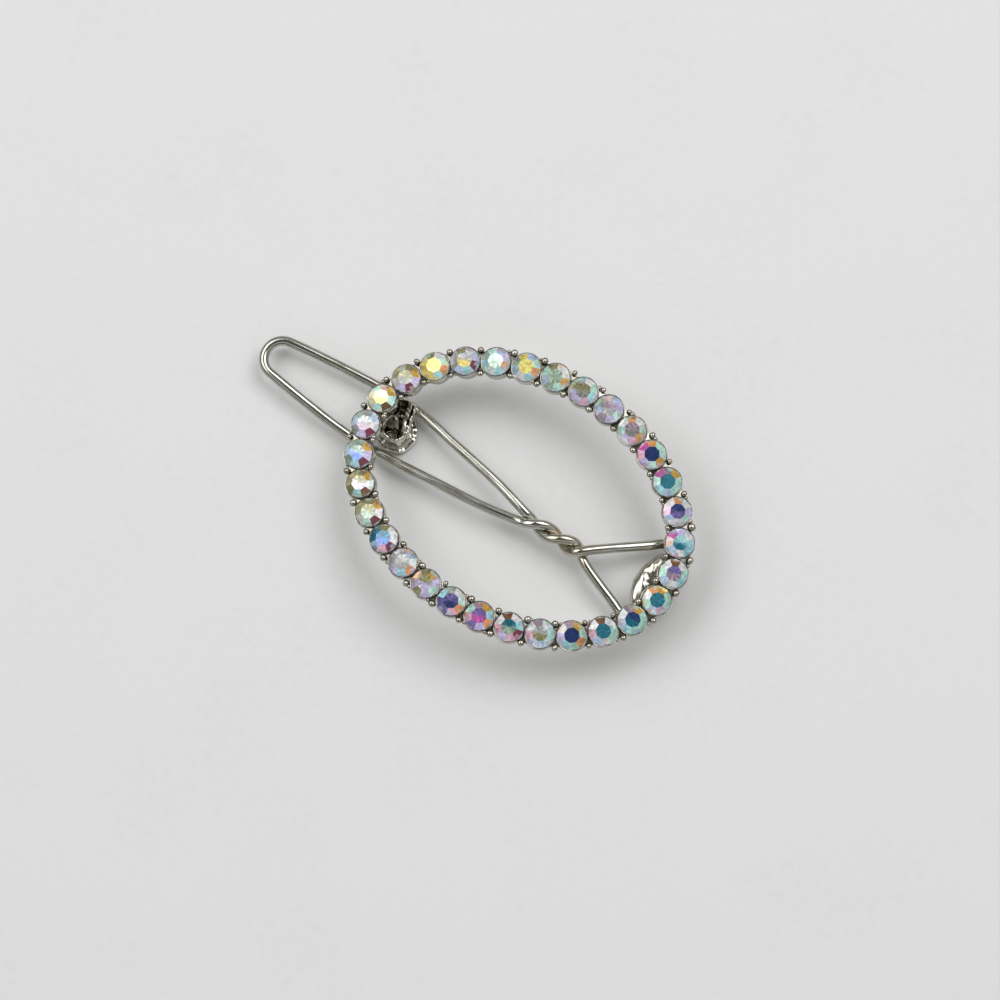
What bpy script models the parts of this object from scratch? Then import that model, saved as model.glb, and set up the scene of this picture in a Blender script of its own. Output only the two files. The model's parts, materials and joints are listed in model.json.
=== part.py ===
"""Rhinestone hair clip: an oval cast frame of cup-set stones over a twisted spring-wire clasp.

The clip lies stones up. +X runs along the oval from the loop's tip to the hinge, +Z is up, and the
origin is under the middle of the whole clip, on the surface that its two feet stand on. Positions
along the clip are worked out from the oval's centre and shifted to that origin by ORIGIN_X.
"""

import math

import bmesh
import bpy
from mathutils import Matrix, Vector

MM = 0.001

# Oval frame, measured along the centre line of the stones
OVAL_LENGTH = 37.7 * MM
OVAL_WIDTH = 27.0 * MM
ARCH_RADIUS = 125.0 * MM  # the oval is bent along its length to lie on the head
CROWN_Z = 7.0 * MM  # height of the stones' girdles at the middle of the oval
FRAME_DEPTH = 2.1 * MM  # from the girdles down to the back of the frame
FRAME_DRAFT = 0.4 * MM  # how much each side leans in towards the back
RIM_DROP = 0.08 * MM  # the cups' rims stop this far under the girdles
WEB_HALF_WIDTH = 1.3 * MM  # the frame between two cups

# Stones and their cups
STONE_D = 3.2 * MM
STONE_SPACE = 0.15 * MM  # least space between two stones
TABLE_D = 1.7 * MM
CROWN_HEIGHT = 0.62 * MM
PAVILION_DEPTH = 1.3 * MM
GIRDLE_HALF = 0.15 * MM  # half the girdle's thickness at the corners of the facets
FACETS = 8
GLUE_GAP = 0.06 * MM
CUP_WALL = 0.14 * MM
BEAD_R = 0.4 * MM  # the beads that grip the stones, two at each gap
BEAD_OFFSET = 1.32 * MM
TURN_PER_STONE = math.radians(137.5)  # stones are set at no particular angle

# Spring wire
WIRE_D = 1.1 * MM
LEG_HALF_SPACING = 3.15 * MM  # the two legs beside the catch
TAIL_LENGTH = 14.5 * MM  # from the oval's centre line to the loop's tip
TIP_RADIUS = 2.1 * MM
TIP_SIDE = 0.2 * MM  # the loop's tip sits a little to one side
TIP_Z = 1.9 * MM  # the tip is bent up a little, for a fingernail
TWIST_PITCH = 6.3 * MM  # one full turn of the two strands
TWIST_SIDE = -1.1 * MM  # and the twist to the other side
TWIST_Z = 2.6 * MM
TWIST_TO_HINGE = 9.45 * MM
STRAND_GAP = 0.1 * MM
ARM_HALF_SPACING = 4.15 * MM  # the two arms beside the hinge lug
LEG_BOW = 0.25 * MM  # how far each leg bulges near the twist
WIRE_STEP = 1.2 * MM

# Hinge lug, under the end of the oval
HINGE_INSET = 1.9 * MM  # from the oval's centre line in to the hinge's axis
HINGE_Z = 1.6 * MM
LUG_WALL = 1.6 * MM  # from the hinge's axis to the lug's inner face
LUG_LENGTH = 3.7 * MM
LUG_HALF_WIDTH = 3.3 * MM
LUG_CORNER = 1.3 * MM  # under the oval; its nose is part of an ellipse
NOSE_DEPTH = 2.6 * MM
NOSE_HALF_WIDTH = 3.9 * MM
LUG_ROUND = 0.9 * MM  # its top edge
HOLE_CLEARANCE = 0.12 * MM
WIRE_IN_LUG = 1.7 * MM
SOLDER_GAP = 0.1 * MM

# Catch stud, under the other end
STUD_REACH = 5.05 * MM  # from the oval's centre line in to the head's edge
STUD_LENGTH = 4.9 * MM
STUD_CORNER = 2.2 * MM
STUD_CLEARANCE = 0.15 * MM  # between the head and each leg
HEAD_HEIGHT = 0.7 * MM
NECK_INSET = 0.5 * MM  # the neck is this much smaller than the head
POCKET_WALL = 0.45 * MM
POCKET_FLOOR = 1.3 * MM
EDGE_ROUND = 0.15 * MM

STONE_R = STONE_D / 2
SOCKET_R = STONE_R + GLUE_GAP
CUP_R = SOCKET_R + CUP_WALL
WIRE_R = WIRE_D / 2
CATCH_X = -OVAL_LENGTH / 2
HINGE_X = OVAL_LENGTH / 2 - HINGE_INSET
TIP_X = CATCH_X - TAIL_LENGTH
CATCH_Z = HEAD_HEIGHT + WIRE_R + 0.3 * MM
# The whole clip runs from the tip's outer edge to the outer edge of the last cups.
ORIGIN_X = (TIP_X - WIRE_R + OVAL_LENGTH / 2 + CUP_R) / 2

CHROME = ("plated_alloy", (0.78, 0.78, 0.74), 0.12, 1.0)
STEEL = ("plated_steel_wire", (0.80, 0.80, 0.76), 0.10, 1.0)
GLASS = ("iridescent_glass", (0.72, 0.80, 0.86), 0.05, 0.3)


def material(name, colour, roughness, metallic):
    """A Principled BSDF, made once for each name."""
    found = bpy.data.materials.get(name)
    if found:
        return found
    made = bpy.data.materials.new(name)
    made.use_nodes = True
    shader = made.node_tree.nodes["Principled BSDF"]
    shader.inputs["Base Color"].default_value = (*colour, 1)
    shader.inputs["Roughness"].default_value = roughness
    shader.inputs["Metallic"].default_value = metallic
    return made


def add(name, data, finish=None):
    """An object under the clip's empty, which carries the shift from the oval's centre to the origin."""
    made = bpy.data.objects.new(name, data)
    bpy.context.scene.collection.objects.link(made)
    made.parent = clip
    if finish and not data.materials:
        data.materials.append(material(*finish))
    return made


def cutter(name, mesh):
    """A helper for a Boolean, which isn't part of the clip."""
    made = add(name, mesh)
    made.hide_render = True
    made.display_type = "WIRE"
    return made


def cut(target, tool, operation="DIFFERENCE"):
    modifier = target.modifiers.new(tool.name, "BOOLEAN")
    modifier.operation = operation
    modifier.object = tool
    modifier.solver = "EXACT"


def finish_mesh(name, bm, smooth_angle=math.radians(35)):
    bmesh.ops.recalc_face_normals(bm, faces=bm.faces)
    mesh = bpy.data.meshes.new(name)
    bm.to_mesh(mesh)
    bm.free()
    mesh.shade_smooth()
    mesh.set_sharp_from_angle(angle=smooth_angle)
    return mesh


def loft(bm, rings, close_ends=True):
    """Closes the rings of points, all of one length, into a skin."""
    rows = [[bm.verts.new(p) for p in ring] for ring in rings]
    for lower, upper in zip(rows, rows[1:]):
        for i in range(len(lower)):
            j = (i + 1) % len(lower)
            bm.faces.new((lower[i], lower[j], upper[j], upper[i]))
    if close_ends:
        bm.faces.new(rows[0][::-1])
        bm.faces.new(rows[-1])
    return rows


def bent(x, y, h):
    """A point of the flat oval, h above its girdle plane, carried onto the arch."""
    angle = x / ARCH_RADIUS
    r = ARCH_RADIUS + h
    return Vector((r * math.sin(angle), y, CROWN_Z + r * math.cos(angle) - ARCH_RADIUS))


def oval_table(steps=3600):
    """Points of the oval with the length run so far, for reading off even spacing."""
    half_length, half_width = OVAL_LENGTH / 2, OVAL_WIDTH / 2
    points, run = [], [0.0]
    for i in range(steps + 1):
        t = 2 * math.pi * i / steps
        points.append((t, half_length * math.cos(t), half_width * math.sin(t)))
    for (_, x0, y0), (_, x1, y1) in zip(points, points[1:]):
        run.append(run[-1] + math.hypot(x1 - x0, y1 - y0))
    return points, run


OVAL_POINTS, OVAL_RUN = oval_table()
OVAL_ROUND = OVAL_RUN[-1]
# As many stones as fit, an even number so that both halves match.
STONE_COUNT = 2 * int(OVAL_ROUND / (2 * (STONE_D + STONE_SPACE)))


def station(share):
    """(x, y, nx, ny) of the flat oval at that share of the way round, n pointing outwards."""
    want = (share % 1) * OVAL_ROUND
    low, high = 0, len(OVAL_RUN) - 1
    while high - low > 1:
        middle = (low + high) // 2
        if OVAL_RUN[middle] <= want:
            low = middle
        else:
            high = middle
    part = (want - OVAL_RUN[low]) / (OVAL_RUN[high] - OVAL_RUN[low])
    t = OVAL_POINTS[low][0] + part * (OVAL_POINTS[high][0] - OVAL_POINTS[low][0])
    half_length, half_width = OVAL_LENGTH / 2, OVAL_WIDTH / 2
    nx, ny = half_width * math.cos(t), half_length * math.sin(t)
    size = math.hypot(nx, ny)
    return half_length * math.cos(t), half_width * math.sin(t), nx / size, ny / size


def seat_matrix(share, turn=0.0, offset=0.0):
    """Where a stone or bead sits: on the oval, offset outwards, leaning with the arch."""
    x, y, nx, ny = station(share)
    place = bent(x + offset * nx, y + offset * ny, 0)
    lean = Matrix.Rotation((x + offset * nx) / ARCH_RADIUS, 4, "Y")
    return Matrix.Translation(place) @ lean @ Matrix.Rotation(turn, 4, "Z")


# ---- Frame ----------------------------------------------------------------------------------


def frame_band(bm, steps_per_cup=4):
    """The scalloped band: round beside each stone, drawn in to a web between two."""
    steps = STONE_COUNT * steps_per_cup
    spacing = OVAL_ROUND / STONE_COUNT
    rows = []
    for i in range(steps):
        share = i / steps
        x, y, nx, ny = station(share)
        from_stone = ((share * STONE_COUNT) % 1 - 0.5) * spacing
        bulge = math.sqrt(max(CUP_R**2 - from_stone**2, 0))
        top = max(bulge, WEB_HALF_WIDTH)
        back = top - FRAME_DRAFT
        section = (
            (top, -RIM_DROP),
            (-top, -RIM_DROP),
            (-back, -FRAME_DEPTH),
            (back, -FRAME_DEPTH),
        )
        rows.append([bm.verts.new(bent(x + w * nx, y + w * ny, h)) for w, h in section])
    for row, following in zip(rows, rows[1:] + rows[:1]):
        for i in range(4):
            j = (i + 1) % 4
            bm.faces.new((row[i], row[j], following[j], following[i]))


def revolve(bm, profile, sides, matrix):
    """A closed solid turned about Z from (radius, height) points that start and end on the axis."""
    rings = []
    for r, h in profile[1:-1]:
        ring = []
        for i in range(sides):
            a = 2 * math.pi * (i + 0.5) / sides
            ring.append(bm.verts.new(matrix @ Vector((r * math.cos(a), r * math.sin(a), h))))
        rings.append(ring)
    ends = [bm.verts.new(matrix @ Vector((0, 0, h))) for h in (profile[0][1], profile[-1][1])]
    for upper, lower in zip(rings, rings[1:]):
        for i in range(sides):
            j = (i + 1) % sides
            bm.faces.new((upper[i], lower[i], lower[j], upper[j]))
    for i in range(sides):
        j = (i + 1) % sides
        bm.faces.new((ends[0], rings[0][i], rings[0][j]))
        bm.faces.new((ends[1], rings[-1][j], rings[-1][i]))


def make_frame():
    bm = bmesh.new()
    frame_band(bm)
    frame = add("frame", finish_mesh("frame", bm), CHROME)

    socket = (
        (0, CROWN_HEIGHT),
        (SOCKET_R, CROWN_HEIGHT),
        (SOCKET_R, -GIRDLE_HALF - GLUE_GAP),
        (0, -PAVILION_DEPTH - 2 * GLUE_GAP),
    )
    bm = bmesh.new()
    for i in range(STONE_COUNT):
        revolve(bm, socket, 12, seat_matrix((i + 0.5) / STONE_COUNT))
    cut(frame, cutter("socket_cutters", finish_mesh("socket_cutters", bm)))

    bead = [(0, BEAD_R)]
    bead += [(BEAD_R * math.sin(a), BEAD_R * math.cos(a)) for a in (0.8, 1.5, 2.2)]
    bead += [(0, -BEAD_R)]
    bm = bmesh.new()
    for i in range(STONE_COUNT):
        for side in (-1, 1):
            sink = Matrix.Translation((0, 0, -RIM_DROP))
            revolve(bm, bead, 7, seat_matrix(i / STONE_COUNT, 0, side * BEAD_OFFSET) @ sink)
    cut(frame, cutter("bead_blanks", finish_mesh("bead_blanks", bm)), "UNION")


# ---- Stones ---------------------------------------------------------------------------------


def stone_mesh():
    """A chaton: table, one ring of crown facets, round girdle and pointed pavilion.

    The facets are flat, so the girdle's edges dip at the middle of each one.
    """
    bm = bmesh.new()
    corner_reach = STONE_R * math.cos(math.pi / FACETS)
    table_reach = TABLE_D / 2 * math.cos(math.pi / FACETS)
    crown_slope = (CROWN_HEIGHT - GIRDLE_HALF) / (corner_reach - table_reach)
    pavilion_slope = (PAVILION_DEPTH - GIRDLE_HALF) / corner_reach
    dip = STONE_R - corner_reach

    def ring(radius, heights, count):
        made = []
        for i in range(count):
            a = 2 * math.pi * i / count
            h = heights[i % len(heights)]
            made.append(bm.verts.new((radius * math.cos(a), radius * math.sin(a), h)))
        return made

    table = ring(TABLE_D / 2, (CROWN_HEIGHT,), FACETS)
    upper = ring(STONE_R, (GIRDLE_HALF, GIRDLE_HALF - dip * crown_slope), 2 * FACETS)
    lower = ring(STONE_R, (-GIRDLE_HALF, -GIRDLE_HALF + dip * pavilion_slope), 2 * FACETS)
    culet = bm.verts.new((0, 0, -PAVILION_DEPTH))
    bm.faces.new(table)
    for i in range(FACETS):
        a, b, c = 2 * i, 2 * i + 1, (2 * i + 2) % (2 * FACETS)
        bm.faces.new((table[i], upper[a], upper[b], upper[c], table[(i + 1) % FACETS]))
        bm.faces.new((culet, lower[c], lower[b], lower[a]))
        for j, k in ((a, b), (b, c)):
            bm.faces.new((upper[j], lower[j], lower[k], upper[k]))
    return finish_mesh("rhinestone", bm, math.radians(5))


def make_stones():
    mesh = stone_mesh()
    for i in range(STONE_COUNT):
        stone = add(f"rhinestone_{i + 1:02d}", mesh, GLASS)
        stone.matrix_local = seat_matrix((i + 0.5) / STONE_COUNT, i * TURN_PER_STONE)


# ---- Lugs under the frame -------------------------------------------------------------------


def rounded_outline(x0, x1, half_width, radius, steps=5):
    """Corner arcs of a rounded rectangle from x0 to x1, counter-clockwise seen from above."""
    radius = min(radius, half_width * 0.98, (x1 - x0) / 2 * 0.98)
    corners = (
        (x1 - radius, half_width - radius, 0),
        (x0 + radius, half_width - radius, 1),
        (x0 + radius, radius - half_width, 2),
        (x1 - radius, radius - half_width, 3),
    )
    points = []
    for cx, cy, quarter in corners:
        for i in range(steps + 1):
            a = math.pi / 2 * (quarter + i / steps)
            points.append((cx + radius * math.cos(a), cy + radius * math.sin(a)))
    return points


def back_of_frame(x, y):
    """The point under the frame's back that leaves room for the solder."""
    return bent(x, y, -FRAME_DEPTH - SOLDER_GAP)


def tongue_outline(grow, steps=5):
    """The hinge lug's outline, drawn in by grow: an elliptical nose and two rounded corners."""
    nose_x = HINGE_X - LUG_WALL + grow
    corner = LUG_CORNER - grow
    corner_x = HINGE_X - LUG_WALL + LUG_LENGTH - LUG_CORNER
    corner_y = LUG_HALF_WIDTH - LUG_CORNER
    arcs = []
    for side, quarter in ((1, 0), (-1, 3)):
        arc = []
        for i in range(steps + 1):
            a = math.pi / 2 * (quarter + i / steps)
            arc.append((corner_x + corner * math.cos(a), side * corner_y + corner * math.sin(a)))
        arcs.append(arc)
    nose = []
    for i in range(2 * steps + 1):
        y = (LUG_HALF_WIDTH - grow) * math.cos(math.pi * i / (2 * steps))
        nose.append((nose_x + NOSE_DEPTH * (1 - math.sqrt(1 - (y / NOSE_HALF_WIDTH) ** 2)), y))
    return arcs[0] + nose + arcs[1]


def make_hinge_lug():
    """A cast tongue with a cross hole, soldered under the end stones. The wire's ends turn in it."""
    rings = [
        [Vector((x, y, 0)) for x, y in tongue_outline(EDGE_ROUND)],
        [Vector((x, y, EDGE_ROUND)) for x, y in tongue_outline(0)],
    ]
    for degrees in (0, 30, 60, 90):
        a = math.radians(degrees)
        grow = LUG_ROUND * (1 - math.cos(a))
        drop = Vector((0, 0, LUG_ROUND * (1 - math.sin(a))))
        rings.append([back_of_frame(x, y) - drop for x, y in tongue_outline(grow)])
    bm = bmesh.new()
    loft(bm, rings)
    lug = add("hinge_lug", finish_mesh("hinge_lug", bm), CHROME)

    bm = bmesh.new()
    bmesh.ops.create_cone(
        bm,
        cap_ends=True,
        segments=20,
        radius1=WIRE_R + HOLE_CLEARANCE,
        radius2=WIRE_R + HOLE_CLEARANCE,
        depth=LUG_HALF_WIDTH * 2 + WIRE_D,
        matrix=Matrix.Translation((HINGE_X, 0, HINGE_Z)) @ Matrix.Rotation(math.pi / 2, 4, "X"),
    )
    cut(lug, cutter("hinge_hole_cutter", finish_mesh("hinge_hole_cutter", bm)))


def make_catch_stud():
    """A mushroom-shaped stud, hollow from above. The wire's legs snap over its head."""
    x1 = CATCH_X + STUD_REACH
    x0 = x1 - STUD_LENGTH
    head = LEG_HALF_SPACING - WIRE_R - STUD_CLEARANCE
    neck = head - NECK_INSET

    def level(grow, z=None):
        """The head's outline, drawn in by grow, at height z or against the frame's back."""
        outline = rounded_outline(x0 + grow, x1 - grow, head - grow, STUD_CORNER - grow)
        if z is None:
            return [back_of_frame(x, y) for x, y in outline]
        return [Vector((x, y, z)) for x, y in outline]

    bm = bmesh.new()
    loft(
        bm,
        [
            level(EDGE_ROUND, 0),
            level(0, EDGE_ROUND),
            level(0, HEAD_HEIGHT - EDGE_ROUND),
            level(EDGE_ROUND, HEAD_HEIGHT),
            level(NECK_INSET, HEAD_HEIGHT + EDGE_ROUND),
            level(NECK_INSET + 2 * EDGE_ROUND, CATCH_Z + WIRE_R),
            level(NECK_INSET + 2 * EDGE_ROUND),
        ],
    )
    stud = add("catch_stud", finish_mesh("catch_stud", bm), CHROME)

    wall = NECK_INSET + 2 * EDGE_ROUND + POCKET_WALL
    pocket = rounded_outline(x0 + wall, x1 - wall, neck - 2 * EDGE_ROUND - POCKET_WALL, MM)
    bm = bmesh.new()
    loft(bm, [[Vector((x, y, z)) for x, y in pocket] for z in (POCKET_FLOOR, CROWN_Z)])
    cut(stud, cutter("pocket_cutter", finish_mesh("pocket_cutter", bm)))


# ---- Spring wire ----------------------------------------------------------------------------


def smooth_through(knots, step):
    """Points about step apart on the centripetal Catmull-Rom curve through the knots."""
    ends = [2 * knots[0] - knots[1]], [2 * knots[-1] - knots[-2]]
    p = ends[0] + knots + ends[1]
    points = []
    for a, b, c, d in zip(p, p[1:], p[2:], p[3:]):
        t = [0.0]
        for u, v in ((a, b), (b, c), (c, d)):
            t.append(t[-1] + math.sqrt((v - u).length))
        count = max(1, round((c - b).length / step))
        for i in range(count):
            s = t[1] + (t[2] - t[1]) * i / count
            ab = a.lerp(b, (s - t[0]) / (t[1] - t[0]))
            bc = b.lerp(c, (s - t[1]) / (t[2] - t[1]))
            cd = c.lerp(d, (s - t[2]) / (t[3] - t[2]))
            abc = ab.lerp(bc, (s - t[0]) / (t[2] - t[0]))
            bcd = bc.lerp(cd, (s - t[1]) / (t[3] - t[1]))
            points.append(abc.lerp(bcd, (s - t[1]) / (t[2] - t[1])))
    return points + [knots[-1]]


TWIST_X1 = HINGE_X - TWIST_TO_HINGE
TWIST_X0 = TWIST_X1 - TWIST_PITCH
STRAND_R = WIRE_R + STRAND_GAP / 2


def strand(phase):
    """One full turn of a strand round the twist's line, starting at that angle from the top."""
    points = []
    for i in range(13):
        turned = 2 * math.pi * i / 12
        x = TWIST_X0 + TWIST_PITCH * i / 12
        side = TWIST_SIDE + STRAND_R * math.sin(turned + phase)
        points.append(Vector((x, side, TWIST_Z + STRAND_R * math.cos(turned + phase))))
    return points


def leg(side):
    """From the twist out past the catch, towards the tip, on the side of the sign given."""
    start = Vector((TWIST_X0, TWIST_SIDE + side * STRAND_R, TWIST_Z))
    beside = Vector((CATCH_X + 0.65 * STUD_REACH, side * LEG_HALF_SPACING, CATCH_Z))
    bow = Vector((0, side * LEG_BOW, 0))
    past = Vector((CATCH_X - 0.15 * TAIL_LENGTH, beside.y, CATCH_Z - 0.12 * (CATCH_Z - TIP_Z)))
    return [start.lerp(beside, 0.27) + bow, start.lerp(beside, 0.67) + bow / 2, beside, past]


def tip():
    """The half circle of the loop's tip, from its +Y side round to its -Y side."""
    centre_x = TIP_X + TIP_RADIUS
    points = []
    for i in range(9):
        a = math.pi * (0.5 + i / 8)
        x = centre_x + TIP_RADIUS * math.cos(a)
        points.append(Vector((x, TIP_SIDE + TIP_RADIUS * math.sin(a), TIP_Z)))
    return points


def arm(side, height):
    """From the twist's end, over or under the other strand, out and round into the lug's hole."""
    cross_x = TWIST_X1 + 0.75 * MM
    wide = side * ARM_HALF_SPACING
    near = Vector((cross_x + 1.2 * MM, TWIST_SIDE + side * 0.75 * MM, TWIST_Z + height * 0.45 * MM))
    far = Vector((HINGE_X - 1.2 * MM, wide + side * 0.35 * MM, HINGE_Z + 0.1 * MM))
    return [
        Vector((cross_x, TWIST_SIDE - side * 0.25 * MM, TWIST_Z + height * STRAND_R)),
        near,
        near.lerp(far, 0.8),
        far,
        Vector((HINGE_X - 0.3 * MM, wide + side * 0.3 * MM, HINGE_Z)),
        Vector((HINGE_X, wide - side * 0.4 * MM, HINGE_Z)),
        Vector((HINGE_X, side * LUG_HALF_WIDTH, HINGE_Z)),
        Vector((HINGE_X, side * (LUG_HALF_WIDTH - WIRE_IN_LUG), HINGE_Z)),
    ]


def make_spring_wire():
    """One length of wire: hinge end, over the twist, round the loop, back through it, hinge end."""
    over = strand(-math.pi / 2)
    under = strand(math.pi / 2)
    knots = arm(1, 1)[::-1] + over[::-1] + leg(-1) + tip()[::-1]
    knots += leg(1)[::-1] + under + arm(-1, -1)
    points = smooth_through(knots, WIRE_STEP)
    curve = bpy.data.curves.new("spring_wire", "CURVE")
    curve.dimensions = "3D"
    curve.bevel_depth = WIRE_R
    curve.bevel_resolution = 2
    curve.use_fill_caps = True
    line = curve.splines.new("POLY")
    line.points.add(len(points) - 1)
    for target, p in zip(line.points, points):
        target.co = (*p, 1)
    # The object's origin is on the hinge's axis, where the wire turns.
    wire = add("spring_wire", curve, STEEL)
    curve.transform(Matrix.Translation((-HINGE_X, 0, -HINGE_Z)))
    wire.location = (HINGE_X, 0, HINGE_Z)


for old in list(bpy.data.objects):
    bpy.data.objects.remove(old)
clip = bpy.data.objects.new("clip", None)
bpy.context.scene.collection.objects.link(clip)
clip.location = (-ORIGIN_X, 0, 0)
make_frame()
make_stones()
make_hinge_lug()
make_catch_stud()
make_spring_wire()
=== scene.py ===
import json
import math

import bmesh
import bpy
import numpy as np
from mathutils import Matrix, Vector


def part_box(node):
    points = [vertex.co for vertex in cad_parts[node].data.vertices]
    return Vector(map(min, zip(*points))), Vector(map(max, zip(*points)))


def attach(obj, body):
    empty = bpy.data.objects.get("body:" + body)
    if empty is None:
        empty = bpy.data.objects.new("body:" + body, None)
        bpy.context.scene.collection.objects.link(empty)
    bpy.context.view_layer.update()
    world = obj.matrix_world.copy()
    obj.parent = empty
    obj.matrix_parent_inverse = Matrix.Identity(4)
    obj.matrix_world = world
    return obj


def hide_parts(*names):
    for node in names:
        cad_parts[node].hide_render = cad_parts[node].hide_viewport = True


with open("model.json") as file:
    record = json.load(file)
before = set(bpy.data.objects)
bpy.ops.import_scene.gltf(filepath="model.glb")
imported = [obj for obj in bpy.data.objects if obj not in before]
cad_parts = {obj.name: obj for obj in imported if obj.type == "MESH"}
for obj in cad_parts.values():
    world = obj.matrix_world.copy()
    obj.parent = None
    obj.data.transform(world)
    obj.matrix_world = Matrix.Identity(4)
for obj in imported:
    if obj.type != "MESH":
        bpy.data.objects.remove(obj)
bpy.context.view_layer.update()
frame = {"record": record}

# ---- Cast frame ------------------------------------------------------------------------------
# The oval is one casting in white metal, plated bright: a scalloped band, bent to a shallow arch
# so that it lies on the head. The cups and the grip beads are cast with it.

MM = 0.001
HALF_LENGTH = 18.85 * MM
HALF_WIDTH = 13.5 * MM
ARCH_RADIUS = 125 * MM
GIRDLE_Z = 7.0 * MM
STONES = 30
STONE_PITCH = 3.4 * MM
HINGE_INSET = 1.9 * MM
hinge = frame["record"]["behaviour"]["joints"][0]["pos_m"]
MIDDLE_X = hinge[0] + HINGE_INSET - HALF_LENGTH


def round_the_oval(share):
    """Position and outward direction at each share of the way round the flat oval.

    The ellipse (a cos t, b sin t) is run through in small steps of t, its length is summed, and
    the t of each share is read off that sum, so equal shares are equal lengths.
    """
    t = np.linspace(0, 2 * np.pi, 14401)
    x, y = HALF_LENGTH * np.cos(t), HALF_WIDTH * np.sin(t)
    run = np.concatenate([[0], np.cumsum(np.hypot(np.diff(x), np.diff(y)))])
    t = np.interp(np.asarray(share) % 1, run / run[-1], t)
    outward = np.stack([HALF_WIDTH * np.cos(t), HALF_LENGTH * np.sin(t)], -1)
    outward /= np.linalg.norm(outward, axis=-1, keepdims=True)
    return np.stack([HALF_LENGTH * np.cos(t), HALF_WIDTH * np.sin(t)], -1), outward


def arched(x, y, h):
    """Carries points of the flat oval, h above its girdle plane, onto an arch about the Y axis."""
    lean = x / ARCH_RADIUS
    r = ARCH_RADIUS + h
    height = GIRDLE_Z + r * np.cos(lean) - ARCH_RADIUS
    return np.stack([MIDDLE_X + r * np.sin(lean), y + 0 * x, height], -1)


def grid_faces(rows, columns, wrap_rows=False, copies=1):
    """Quads of a grid of points whose columns wrap round, for each of so many copies in a row."""
    i = np.arange(rows if wrap_rows else rows - 1)[:, None]
    j = np.arange(columns)[None, :]
    this_row, next_row = i * columns, (i + 1) % rows * columns
    along = (j + 1) % columns
    corners = this_row + j, this_row + along, next_row + along, next_row + j
    quad = np.stack(np.broadcast_arrays(*corners), -1)
    quad = quad.reshape(1, -1, 4) + (np.arange(copies) * rows * columns)[:, None, None]
    return quad.reshape(-1, 4)


def close_up(mesh):
    """Merges the points that a pole or a seam repeats, and turns the faces outwards."""
    work = bmesh.new()
    work.from_mesh(mesh)
    bmesh.ops.remove_doubles(work, verts=work.verts, dist=0.0005 * MM)
    bmesh.ops.recalc_face_normals(work, faces=work.faces)
    work.to_mesh(mesh)
    work.free()


def cast(name, points, faces, finish, body="top", crease=40, uv=None):
    """A closed piece from points and quads, smooth but for edges sharper than the crease."""
    mesh = bpy.data.meshes.new(name)
    mesh.from_pydata(points.reshape(-1, 3).tolist(), [], faces.tolist())
    if uv is not None:
        layer = mesh.uv_layers.new(name="along")
        layer.data.foreach_set("uv", uv.astype(np.float32).ravel())
    close_up(mesh)
    mesh.shade_smooth()
    mesh.set_sharp_from_angle(angle=math.radians(crease))
    made = bpy.data.objects.new(name, mesh)
    bpy.context.scene.collection.objects.link(made)
    mesh.materials.append(finish)
    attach(made, body)
    return made


def node(tree, kind, inputs=None, **settings):
    """Adds a shader node, sets its properties, and links or sets its inputs."""
    made = tree.nodes.new(kind)
    for key, value in settings.items():
        setattr(made, key, value)
    for key, value in (inputs or {}).items():
        if isinstance(value, bpy.types.NodeSocket):
            tree.links.new(value, made.inputs[key])
        else:
            made.inputs[key].default_value = value
    return made


def ramp(tree, factor, stops):
    """A colour ramp on a value, with a stop for each (position, colour)."""
    made = node(tree, "ShaderNodeValToRGB", {"Fac": factor})
    band = made.color_ramp.elements
    while len(band) < len(stops):
        band.new(1)
    for element, (position, colour) in zip(band, stops):
        element.position = position
        element.color = (*colour, 1)
    return made.outputs["Color"]


def stained(tree, colour, stain, amount=1.0):
    """One colour multiplied by another, by an amount from 0 to 1."""
    made = node(tree, "ShaderNodeMix", data_type="RGBA", blend_type="MULTIPLY", clamp_result=False)
    made.inputs[0].default_value = amount
    tree.links.new(colour, made.inputs[6])
    tree.links.new(stain, made.inputs[7])
    return made.outputs[2]


def shader_of(name):
    """A new material with its tree and its Principled BSDF."""
    made = bpy.data.materials.new(name)
    made.use_nodes = True
    return made, made.node_tree, made.node_tree.nodes["Principled BSDF"]


def plated_casting(name, shade_in_hollows, in_open):
    """Bright plating over white metal: cast ripple in the bump, painted olive shade in the hollows.

    The colour runs from the painted shade in the hollows to the plating's colour in the open, by
    how much of the room a spot can see, and soft clouds make it duller here and there.
    """
    made, tree, shader = shader_of(name)
    place = node(tree, "ShaderNodeTexCoord").outputs["Object"]
    ripple = node(tree, "ShaderNodeTexNoise", {"Vector": place, "Scale": 1100.0, "Detail": 3.0})
    cloud = node(tree, "ShaderNodeTexNoise", {"Vector": place, "Scale": 420.0, "Detail": 4.0})
    # Painted shade: the colour is darkened wherever a spot sees little of the room, in the hollows.
    hollow = node(tree, "ShaderNodeAmbientOcclusion", {"Distance": 1.6 * MM}, samples=8)
    half_open = tuple((low + high) / 2 for low, high in zip(shade_in_hollows, in_open))
    shade = ramp(tree, hollow.outputs["AO"], ((0.1, shade_in_hollows), (0.5, half_open), (0.95, in_open)))
    cloudy = ramp(tree, cloud.outputs["Fac"], ((0.3, (0.70, 0.68, 0.60)), (0.65, (1, 1, 1))))
    tree.links.new(stained(tree, shade, cloudy), shader.inputs["Base Color"])
    shine = node(tree, "ShaderNodeMapRange", {"Value": cloud.outputs["Fac"], "To Min": 0.1, "To Max": 0.3})
    tree.links.new(shine.outputs["Result"], shader.inputs["Roughness"])
    bump_of = {"Height": ripple.outputs["Fac"], "Strength": 0.35, "Distance": 0.03 * MM}
    bump = node(tree, "ShaderNodeBump", bump_of)
    tree.links.new(bump.outputs["Normal"], shader.inputs["Normal"])
    shader.inputs["Metallic"].default_value = 1.0
    return made


# The band, the cups and the lug: a dark olive painted shade in the hollows, bright plating in the open.
casting = plated_casting("plated casting", (0.12, 0.105, 0.08), (0.66, 0.65, 0.60))

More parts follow.
